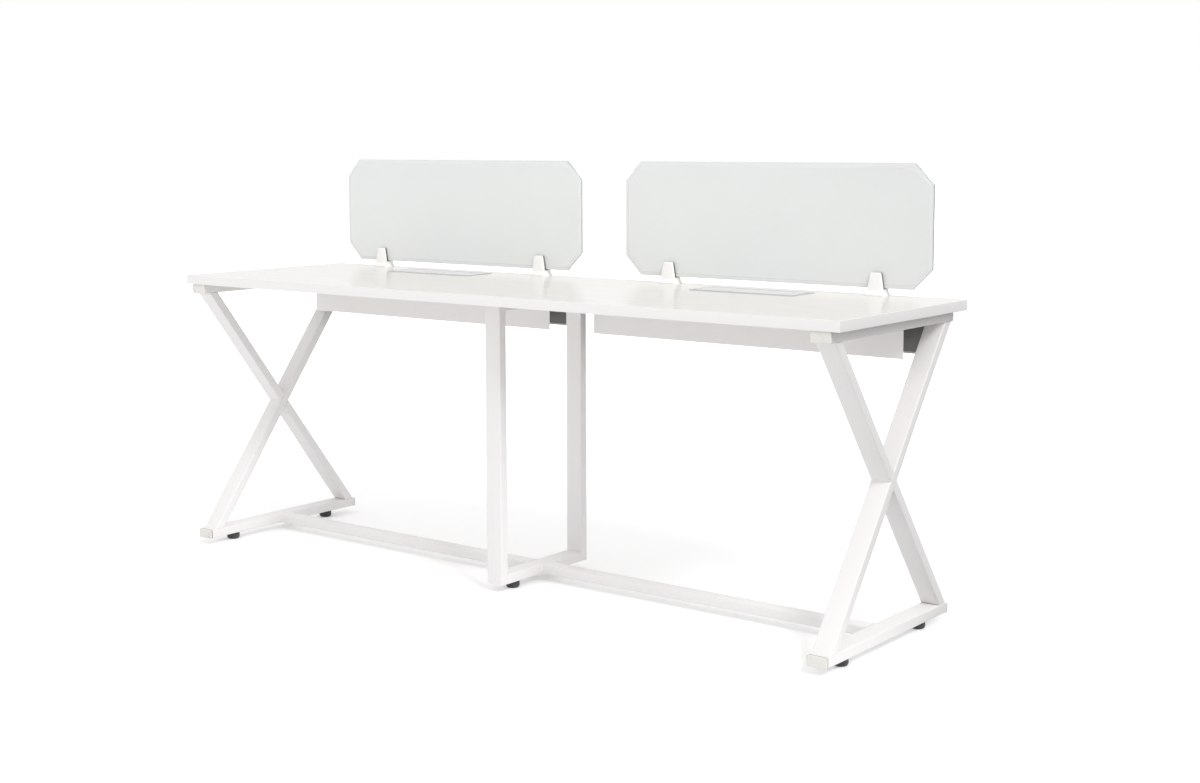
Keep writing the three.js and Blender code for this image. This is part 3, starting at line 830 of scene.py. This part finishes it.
class DESK_OT_feet(bpy.types.Operator):
    """Levelling feet: fluted pads and screws with a real helical thread"""

    bl_idname = "desk.feet"
    bl_label = "Levelling feet"

    def execute(self, context):
        pitch = context.scene.desk_sizes.thread_pitch
        rim, toe, flutes, flute_depth = 2.5 * MM, 7 * MM, 28, 0.45 * MM
        thread_depth = 0.8 * MM
        turn = np.linspace(0, math.pi / 2, 7)
        for foot in [f"{place}_{end}_foot" for place in (*SIDES, "middle") for end in ENDS]:
            low, high = reach(f"{foot}_pad")
            base, tip = reach(f"{foot}_stud")
            centre = (*(low + high)[:2] / 2, 0)
            radius = (high[0] - low[0]) / 2
            collar = (tip[0] - base[0]) / 2
            socket = collar + 0.3 * MM
            bottom, top, stop = base[2], high[2], tip[2]
            profile = [
                *np.stack([radius - toe + toe * np.sin(turn), toe - toe * np.cos(turn)], 1),
                *np.stack([radius - rim + rim * np.cos(turn), top - rim + rim * np.sin(turn)], 1),
                (socket + 2.5 * MM, top),
                (socket + 2 * MM, top - 0.5 * MM),
                (socket + 0.4 * MM, top - 0.5 * MM),
                (socket, top - 0.9 * MM),
                (socket, bottom - 0.2 * MM),
            ]

            def flute(angle, height, top=top):
                """Depth of the flutes, which die away towards the top and the toe."""
                belt = np.clip(1 - np.abs(height - top / 2) / (top * 0.42), 0, 1) ** 0.5
                wave = 0.5 + 0.5 * np.cos(flutes * angle)
                return flute_depth * belt * wave * (height < top - 0.05 * MM)

            pad = turned(profile, centre, 6 * flutes, flute)
            piece(f"{foot}_moulding", [pad], pad_plastic_and_shade, foot, [f"{foot}_pad"], 40)
            collar_top = bottom + 4 * MM
            heights = np.arange(collar_top + 0.2 * MM, stop - 1.2 * MM, pitch / 8)

            def thread(angle, height, collar_top=collar_top, stop=stop):
                """Depth of a helical groove between the collar and the tip."""
                wave = np.abs(((height / pitch - angle / (2 * math.pi)) % 1) * 2 - 1)
                fade = np.clip((height - collar_top) / pitch, 0, 1) * (height < stop - 1.1 * MM)
                return thread_depth * wave * fade

            profile = [
                (collar - 0.6 * MM, bottom),
                (collar, bottom + 0.6 * MM),
                (collar, collar_top - 0.4 * MM),
                (collar - 0.4 * MM, collar_top),
                (SCREW_RADIUS, collar_top + 0.1 * MM),
                *np.stack([np.full_like(heights, SCREW_RADIUS), heights], 1),
                (SCREW_RADIUS - 0.9 * MM, stop - 0.9 * MM),
                (SCREW_RADIUS - 1.6 * MM, stop),
            ]
            stud = turned(profile, centre, 40, thread)
            piece(f"{foot}_screw", [stud], zinc_steel, f"{foot}_screw", [f"{foot}_stud"], 50)
        return {"FINISHED"}


class DESK_OT_trays(bpy.types.Operator):
    """Cable trays folded from sheet: plates, flanges and a floor that stops short of the ends"""

    bl_idname = "desk.trays"
    bl_label = "Cable trays"

    def execute(self, context):
        sizes = context.scene.desk_sizes
        sheet, bend, flange = sizes.tray_sheet, 2.5 * MM, 16 * MM
        inner, lap = bend - sheet, bend + sheet
        film, margin = 0.15 * MM, 1.5 * MM
        sharp, film_sharp = 0.1 * MM, 0.05 * MM
        for side in SIDES:
            node = f"{side}_cable_tray"
            low, high = reach(node)
            bottom, top = low[2], high[2]
            y0, y1 = low[1] + flange, high[1] - flange
            shapes, shade_films = [], []
            for y, out in ((y0, -1), (y1, 1)):
                corners = [
                    (y + out * flange, top),
                    (y + out * flange, top - sheet),
                    (y, top - sheet),
                    (y, bottom),
                    (y - out * lap, bottom),
                    (y - out * lap, bottom + sheet),
                    (y - out * sheet, bottom + sheet),
                    (y - out * sheet, top),
                ]
                shape = outline(corners, [sharp, sharp, inner, bend, sharp, sharp, inner, bend], 6)
                shapes.append(prism(shape, low[0], high[0], sharp, "X"))
            floor = rectangle(y0 + lap, bottom, y1 - lap, bottom + sheet, sharp, 2)
            shapes.append(prism(floor, low[0] + sizes.tray_drop, high[0] - sizes.tray_drop, sharp, "X"))
            piece(f"{node}_sheet", shapes, powder_coat, stands_for=[node], angle=50)
            # Painted shade: a dark film on the inner face of each plate stands in for the deep shade inside
            # the tray.
            for y in (y0 + sheet, y1 - sheet - film):
                shape = rectangle(y, bottom + lap, y + film, top - margin, film_sharp, 2)
                shade_films.append(prism(shape, low[0] + margin, high[0] - margin, film_sharp, "X"))
            piece(f"{node}_painted_shade_film", shade_films, tray_shade_coat, stands_for=[node], angle=50)
        return {"FINISHED"}


class DESK_OT_flaps(bpy.types.Operator):
    """Cable flaps: bezel with lugs and ledges, lid with its knuckle, hinge pin and brush"""

    bl_idname = "desk.flaps"
    bl_label = "Cable flaps"

    def execute(self, context):
        per_row = context.scene.desk_sizes.bristles
        rows, sides, lean, strand = 3, 5, 0.5 * MM, 0.5 * MM
        overlap, wall, lug, nose, ledge = 6.5 * MM, 2 * MM, 8 * MM, 2.7 * MM, 6 * MM
        opening, notch = overlap + wall, lug + 0.1 * MM
        thick, pin_radius = 3 * MM, 1.5 * MM
        seed = np.random.default_rng(7)
        surface_z = reach("worktop_board")[1][2]
        for side in SIDES:
            flap = f"{side}_flap"
            low, high = reach(f"{flap}_bezel")
            lid_low, lid_high = reach(f"{flap}_lid")
            pin_low, pin_high = reach(f"{flap}_hinge_pin")
            brush_low, brush_high = reach(f"{flap}_brush")
            hinge = (pin_low[1:] + pin_high[1:]) / 2
            hinge_y, hinge_z = hinge
            flange, skirt = high[2] - surface_z, surface_z - low[2]
            shape = rectangle(*low[:2], *high[:2], 2.5 * MM, 6)
            corners = [
                (-opening, -skirt),
                (-overlap, -skirt),
                (-overlap, 0),
                (0, 0),
                (0, flange),
                (-opening, flange),
            ]
            section = traced(outline(corners, np.array([0.2, 0.2, 0.05, 0.1, 0.6, 0.6]) * MM, 4))
            bezel = [hoop(shape, section, (0, 0, surface_z))]
            inner_low, inner_high = low + opening, high - opening
            rest = lid_low[2] + 2.7 * MM
            for x, inward in ((inner_low[0], 1), (inner_high[0], -1)):
                x0, x1 = sorted((x - inward * wall / 2, x + inward * lug))
                lug_high = (x1, inner_high[1] + wall / 2, hinge_z + nose)
                bezel.append(block((x0, hinge_y, hinge_z - 6 * MM), lug_high, 0.4 * MM))
                bezel.append(rod((x0, *hinge), (x1, *hinge), nose))
                x0, x1 = sorted((x - inward * wall / 2, x + inward * ledge))
                ledge_low = (x0, inner_low[1] + 16 * MM, rest - 5 * MM)
                bezel.append(block(ledge_low, (x1, hinge_y - 11 * MM, rest), 0.5 * MM))
            piece(f"{flap}_frame", bezel, shaded_surround_metal, stands_for=[f"{flap}_bezel"], angle=40)

            knuckle = lid_high[2] - hinge_z
            x0, x1 = lid_low[0], lid_high[0]
            y0, y1 = lid_low[1], hinge_y - knuckle - 0.6 * MM
            corners = [
                (x0, y0),
                (x1, y0),
                (x1, y1),
                (x1 - notch, y1),
                (x1 - notch, hinge_y),
                (x0 + notch, hinge_y),
                (x0 + notch, y1),
                (x0, y1),
            ]
            plate = outline(corners, np.array([1.5, 1.5, 0.8, 0.4, 0.2, 0.2, 0.4, 0.8]) * MM, 4)
            lid = [
                prism(plate, lid_high[2] - thick, lid_high[2], 0.5 * MM),
                rod((x0 + notch, *hinge), (x1 - notch, *hinge), knuckle, 28),
            ]
            piece(f"{flap}_plate", lid, flap_metal, flap, [f"{flap}_lid"], 40)
            pin = rod((pin_low[0], *hinge), (pin_high[0], *hinge), pin_radius)
            piece(f"{flap}_pin", [pin], zinc_steel, stands_for=[f"{flap}_hinge_pin"])

            root = brush_low[1] + 1.9 * MM
            backing = block(brush_low, (brush_high[0], root, brush_high[2]), 0.3 * MM)
            spacing = (brush_high[0] - brush_low[0]) / per_row
            grid = np.meshgrid(np.arange(rows), np.arange(per_row), indexing="ij")
            row, number_in_row = (a.ravel() for a in grid)
            x = brush_low[0] + spacing * (number_in_row + 0.2 + 0.3 * row)
            z = brush_high[2] - (0.8 + 1.1 * row) * MM
            sway = seed.uniform(-lean, lean, (2, len(x)))
            tip_y = brush_high[1] - seed.uniform(0, 0.8 * MM, len(x))
            starts = np.stack([x, np.full_like(x, root - 0.4 * MM), z], 1)
            ends = np.stack([x + sway[0], tip_y, z + np.minimum(0.6 * sway[1], 0)], 1)
            angle = np.arange(sides) * 2 * math.pi / sides
            ring = strand * np.stack([np.sin(angle), np.zeros(sides), np.cos(angle)], 1)
            rings = np.stack([starts[:, None] + ring, ends[:, None] + 0.7 * ring], 1)
            strands = [backing, *(closed(pair) for pair in rings)]
            piece(f"{flap}_bristles", strands, bristle_nylon, stands_for=[f"{flap}_brush"])
        return {"FINISHED"}


class DESK_OT_screens(bpy.types.Operator):
    """Glass screens: etched faces inside a ground bevel, with cut corners"""

    bl_idname = "desk.screens"
    bl_label = "Screens"

    def execute(self, context):
        sizes = context.scene.desk_sizes
        bevel, corner = sizes.screen_bevel, sizes.screen_cut
        fall, arris, line = 1 * MM, 0.4 * MM, 1.4 * MM
        for side in SIDES:
            node = f"{side}_screen_glass"
            low, high = reach(node)
            x0, x1, z0, z1 = -high[0], -low[0], low[2], high[2]
            corners = [
                (x0 + corner, z0),
                (x1 - corner, z0),
                (x1, z0 + corner),
                (x1, z1 - corner),
                (x1 - corner, z1),
                (x0 + corner, z1),
                (x0, z1 - corner),
                (x0, z0 + corner),
            ]
            shape = outline(corners, 2.5 * MM, 4)
            depth = np.array([0, line / bevel * fall, fall, fall + arris])
            inset = np.array([bevel, bevel - line, arris, 0])
            depths = np.concatenate([low[1] + depth, high[1] - depth[::-1]])
            rings = stacked(shape, depths, np.concatenate([inset, inset[::-1]]), "Y")
            made = piece(f"{side}_screen_pane", [closed(rings)], etched_glass, stands_for=[node], angle=3)
            for maker in (bevel_highlight, bevel_glass, cut_glass):
                made.data.materials.append(finish(maker))
            # Painted highlight: the band where the bevel starts, on each face, takes the bright line
            # finish.
            bands = np.repeat([1, 2, 3, 3, 3, 2, 1], rings.shape[1])
            index = np.concatenate([bands, [0, 0]]).astype(np.int32)
            made.data.polygons.foreach_set("material_index", index)
        return {"FINISHED"}


class DESK_OT_clamps(bpy.types.Operator):
    """Screen clamps: two tapered cheeks on a flared base, with rubber between cheeks and glass"""

    bl_idname = "desk.clamps"
    bl_label = "Screen clamps"

    def execute(self, context):
        knee_z, round_top = 12 * MM, 4 * MM
        for side in SIDES:
            shapes, nodes = [], []
            for end in SIDES:
                node = f"{side}_screen_{end}_clamp"
                nodes.append(node)
                low, high = reach(node)
                lining_low, lining_high = reach(f"{node}_lining")
                # Painted shade and reflection: the lining's dark green also stands in for the shade and
                # green glass in the gap between cheek and glass.
                dress(f"{node}_lining", clamp_rubber_and_shade)
                x, y = (low[:2] + high[:2]) / 2
                foot = (high[0] - low[0]) / 2
                base_depth = (high[1] - low[1]) / 2
                tall = high[2] - low[2]
                slot = (lining_high[1] - lining_low[1]) / 2 + 0.1 * MM
                slot_floor = lining_low[2] - low[2] - 0.1 * MM

                def half_width(z, foot=foot, tall=tall):
                    """Half the width seen from the front: a flare up to the knee, then a straight taper."""
                    knee, crown = foot - 2.5 * MM, foot - 10 * MM
                    flare = foot - 2.5 * MM * np.sin(np.clip(z / knee_z, 0, 1) * math.pi / 2)
                    taper = knee + (crown - knee) * (z - knee_z) / (tall - knee_z)
                    drop = np.clip((z - tall + round_top) / round_top, 0, 1)
                    return np.where(z < knee_z, flare, taper) - round_top * (1 - np.sqrt(1 - drop**2))

                def half_depth(z, base=base_depth, slot=slot, floor=slot_floor, tall=tall):
                    """Half the depth seen from the end: a flare into cheeks that thin towards the top."""
                    waist, crown = slot + 7 * MM, slot + 5 * MM
                    share = np.clip((z - 4 * MM) / (floor - 4 * MM), 0, 1)
                    flare = waist + (base - waist) * (1 - np.sin(share * math.pi / 2))
                    cheek = waist + (crown - waist) * (z - floor) / (tall - floor)
                    top = 2.5 * MM
                    drop = np.clip((z - tall + top) / top, 0, 1)
                    edge = np.clip((0.8 * MM - z) / (0.8 * MM), 0, 1) * 0.5 * MM
                    return np.where(z < floor, flare, cheek) - top * (1 - np.sqrt(1 - drop**2)) - edge

                def lofted(z, y_low, y_high, corner):
                    """Round-cornered rectangles, one at each height."""
                    angle = (np.arange(4)[:, None] + np.linspace(0, 1, 5)).ravel() * math.pi / 2
                    normals = np.stack([np.cos(angle), np.sin(angle)], 1)
                    sharp = np.repeat([(1, 1), (-1, 1), (-1, -1), (1, -1)], 5, 0)
                    wide = half_width(z)[:, None]
                    mid, deep = ((y_low + y_high) / 2)[:, None], ((y_high - y_low) / 2)[:, None]
                    r = np.minimum(corner, 0.9 * deep)
                    ring_x = sharp[None, :, 0] * (wide - r) + normals[None, :, 0] * r
                    ring_y = mid + sharp[None, :, 1] * (deep - r) + normals[None, :, 1] * r
                    ring_z = np.broadcast_to(z[:, None], ring_x.shape)
                    return closed(np.stack([x + ring_x, y + ring_y, low[2] + ring_z], -1))

                z = np.concatenate([[0, 0.4 * MM, 0.8 * MM], np.linspace(2 * MM, slot_floor, 12)])
                shapes.append(lofted(z, -half_depth(z), half_depth(z), 2 * MM))
                top_turn = np.linspace(0.05, math.pi / 2, 8)
                straight = np.linspace(slot_floor - 2 * MM, tall - 4.5 * MM, 8)
                z = np.concatenate([straight, tall - round_top + round_top * np.sin(top_turn) * 0.995])
                outer = half_depth(z)
                inner = np.full_like(z, slot)
                shapes.append(lofted(z, inner, outer, 1.2 * MM))
                shapes.append(lofted(z, -outer, -inner, 1.2 * MM))
            piece(f"{side}_screen_clamps", shapes, clamp_plastic, stands_for=nodes, angle=40)
        return {"FINISHED"}


class DESK_OT_fixings(bpy.types.Operator):
    """Pan-head screws that hold the tray flanges to the worktop"""

    bl_idname = "desk.fixings"
    bl_label = "Fixings"

    def execute(self, context):
        sheet = context.scene.desk_sizes.tray_sheet
        radius = 4.2 * MM
        rise = 0.55 * radius
        end_gap, edge_gap, count = 0.06, 7 * MM, 4
        turn = np.linspace(0, math.pi / 2, 6)[:-1]
        dome = np.stack([radius * np.cos(turn), rise * np.sin(turn)], 1)
        socket = [(0.36 * radius, rise * 0.97), (0.34 * radius, rise * 0.35)]
        profile = np.concatenate([[(0.99 * radius, -0.2 * MM)], dome, socket])
        points, faces = turned(profile, (0, 0, 0), 24)
        hanging = points * (1, -1, -1)
        heads = []
        for side in SIDES:
            low, high = reach(f"{side}_cable_tray")
            for x in np.linspace(low[0] + end_gap, high[0] - end_gap, count):
                for y in (low[1] + edge_gap, high[1] - edge_gap):
                    heads.append((hanging + (x, y, high[2] - sheet), faces))
        piece("tray_screws", heads, zinc_steel, angle=40)
        return {"FINISHED"}


# Stage


class DESK_OT_stage(bpy.types.Operator):
    """Camera, soft studio light and a pale floor that runs into a white background"""

    bl_idname = "desk.stage"
    bl_label = "Stage"

    def execute(self, context):
        scene = context.scene
        stage = scene.desk_stage
        self.camera(scene, stage)
        self.floor(scene, stage)
        self.world(scene, stage)
        self.lamp(scene, stage)
        scene.view_settings.view_transform = "Standard"
        return {"FINISHED"}

    def camera(self, scene, stage):
        """The photograph's eye: right, up and back axes from yaw, pitch and roll."""
        a, e, r = stage.yaw, stage.pitch, stage.roll
        back = np.array([math.sin(a) * math.cos(e), -math.cos(a) * math.cos(e), math.sin(e)])
        right = np.array([math.cos(a), math.sin(a), 0])
        up = np.cross(back, right)
        turned_right = math.cos(r) * right + math.sin(r) * up
        turned_up = -math.sin(r) * right + math.cos(r) * up
        lens = bpy.data.cameras.new("camera")
        lens.lens = lens.sensor_width * stage.focal
        lens.shift_x, lens.shift_y = stage.shift
        eye = bpy.data.objects.new("camera", lens)
        matrix = np.eye(4)
        matrix[:3, :3] = np.stack([turned_right, turned_up, back], 1)
        matrix[:3, 3] = stage.eye
        eye.matrix_world = Matrix(matrix.tolist())
        scene.collection.objects.link(eye)
        scene.camera = eye

    def looked_at(self, s):
        """One for rays from the camera, from gloss and through glass, and zero for light."""
        kinds = ("Camera", "Glossy", "Transmission")
        return sum(s.node("LightPath", output=f"Is {kind} Ray") for kind in kinds).above(0.5, 0.1)

    def floor(self, scene, stage):
        """White paper, dark at the right where it throws no light back, but white to the camera."""
        radius, sides = 60, 64
        glow_under, glow_right, glow_far = ((level,) * 3 for level in (0.25, 0.87, 0.98))
        mesh = bpy.data.meshes.new("floor")
        angle = np.linspace(0, 2 * math.pi, sides, endpoint=False)
        points = radius * np.stack([np.cos(angle), np.sin(angle), np.zeros(sides)], 1)
        mesh.from_pydata(points, [], [list(range(sides))])
        made = bpy.data.objects.new("floor", mesh)
        scene.collection.objects.link(made)
        material = bpy.data.materials.new("floor")
        s = Shading(material)
        seen = self.looked_at(s)
        x, y = (s.node("SeparateXYZ", inputs={0: s.place()}, output=axis) for axis in "XY")
        # The paper is dark past a slanted line at the right, and the glow takes over far from the desk
        right = (x + y * 0.5).above(1.12, 0.08)
        far = s.node("VectorMath", {"operation": "LENGTH"}, {0: s.place()}, "Value").above(2.4, 0.5)
        paper = s.tones(right, stage.floor, 1.0, 0.15)
        white = s.mix(far, s.mix(right, glow_under, glow_right), glow_far)
        lit = s.node("BsdfDiffuse", inputs={"Color": paper})
        glow = s.node("Emission", inputs={"Color": white, "Strength": seen})
        both = s.node("AddShader", inputs={0: lit, 1: glow})
        s.node("OutputMaterial", inputs={"Surface": both})
        mesh.materials.append(material)

    def world(self, scene, stage):
        """Even light from all round, seen as plain white by the camera, in gloss and through glass."""
        world = bpy.data.worlds.new("studio")
        scene.world = world
        s = Shading(world)
        seen = self.looked_at(s)
        strength = stage.fill + seen * (1 - stage.fill)
        light = s.node("Background", inputs={"Color": (1, 1, 1, 1), "Strength": strength})
        s.node("OutputWorld", inputs={"Surface": light})

    def lamp(self, scene, stage):
        """One wide lamp, high at the front right."""
        light = bpy.data.lights.new("key light", "POINT")
        light.shadow_soft_size = stage.lamp_radius
        light.energy = stage.lamp_power
        made = bpy.data.objects.new("key light", light)
        made.location = stage.lamp
        made.visible_camera = False
        scene.collection.objects.link(made)


BUILDERS = (
    DESK_OT_worktop,
    DESK_OT_leg_tubes,
    DESK_OT_welds,
    DESK_OT_end_caps,
    DESK_OT_feet,
    DESK_OT_trays,
    DESK_OT_flaps,
    DESK_OT_screens,
    DESK_OT_clamps,
    DESK_OT_fixings,
    DESK_OT_stage,
)


class DESK_PT_panel(bpy.types.Panel):
    """Lists the desk's pieces and their sizes"""

    bl_idname = "DESK_PT_panel"
    bl_label = "Benching desk"
    bl_space_type = "VIEW_3D"
    bl_region_type = "UI"
    bl_category = "Desk"

    def draw(self, context):
        for builder in BUILDERS:
            self.layout.operator(builder.bl_idname)
        for group in (context.scene.desk_sizes, context.scene.desk_colours, context.scene.desk_stage):
            box = self.layout.box()
            for name in group.__annotations__:
                box.prop(group, name)


CLASSES = (DeskSizes, DeskColours, DeskStage, *BUILDERS, DESK_PT_panel)


def register():
    for made in CLASSES:
        bpy.utils.register_class(made)
    bpy.types.Scene.desk_sizes = bpy.props.PointerProperty(type=DeskSizes)
    bpy.types.Scene.desk_colours = bpy.props.PointerProperty(type=DeskColours)
    bpy.types.Scene.desk_stage = bpy.props.PointerProperty(type=DeskStage)


def unregister():
    del bpy.types.Scene.desk_stage, bpy.types.Scene.desk_colours, bpy.types.Scene.desk_sizes
    for made in reversed(CLASSES):
        bpy.utils.unregister_class(made)


def main():
    """Builds the desk and its stage."""
    register()
    for builder in BUILDERS:
        group, name = builder.bl_idname.split(".")
        getattr(getattr(bpy.ops, group), name)()


if __name__ == "__main__":
    main()
